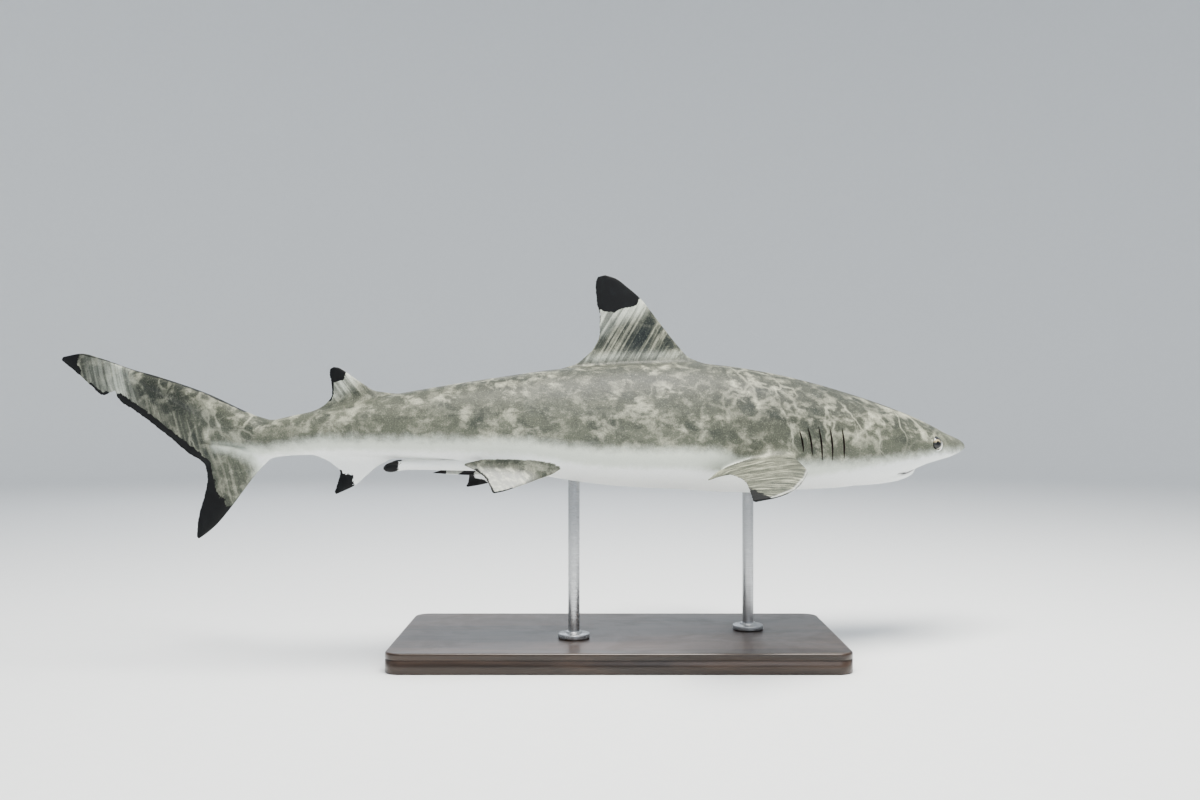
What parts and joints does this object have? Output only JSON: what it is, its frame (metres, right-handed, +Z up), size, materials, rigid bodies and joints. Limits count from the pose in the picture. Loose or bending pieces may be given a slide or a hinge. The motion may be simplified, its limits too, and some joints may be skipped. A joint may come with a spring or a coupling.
{
  "type": "blacktip reef shark display model",
  "caption": "Life-size adult male blacktip reef shark, swimming level with a slight bend of the tail, held over a flat base by two short rods.",
  "frame": {"origin": "centre of the underside of the stand's base", "axes": "+X towards the shark's head, along its length; +Y towards its left side; +Z up"},
  "size_m": [1.3498, 0.5285, 0.5354],
  "materials": {
    "skin": "fine matt-satin shark skin, grey-olive above, white below, black fin tips",
    "eye": "wet glossy eye",
    "stand_wood": "dark stained, satin lacquer",
    "stand_steel": "brushed"
  },
  "bodies": {
    "root": {"head": "skin", "lower_jaw": "skin", "gill_region": "skin", "trunk_front": "skin", "trunk_rear": "skin", "tail_stalk": "skin", "tail_fin_upper_lobe": "skin", "tail_fin_lower_lobe": "skin", "first_dorsal_fin": "skin", "second_dorsal_fin": "skin", "anal_fin": "skin", "pectoral_fin_right": "skin", "pectoral_fin_left": "skin", "pelvic_fin_right": "skin", "pelvic_fin_left": "skin", "clasper_right": "skin", "clasper_left": "skin", "eye_right": "eye", "eye_left": "eye", "stand_base": "stand_wood", "stand_collar_front": "stand_steel", "stand_collar_rear": "stand_steel", "stand_rod_front": "stand_steel", "stand_rod_rear": "stand_steel"}
  },
  "joints": []
}
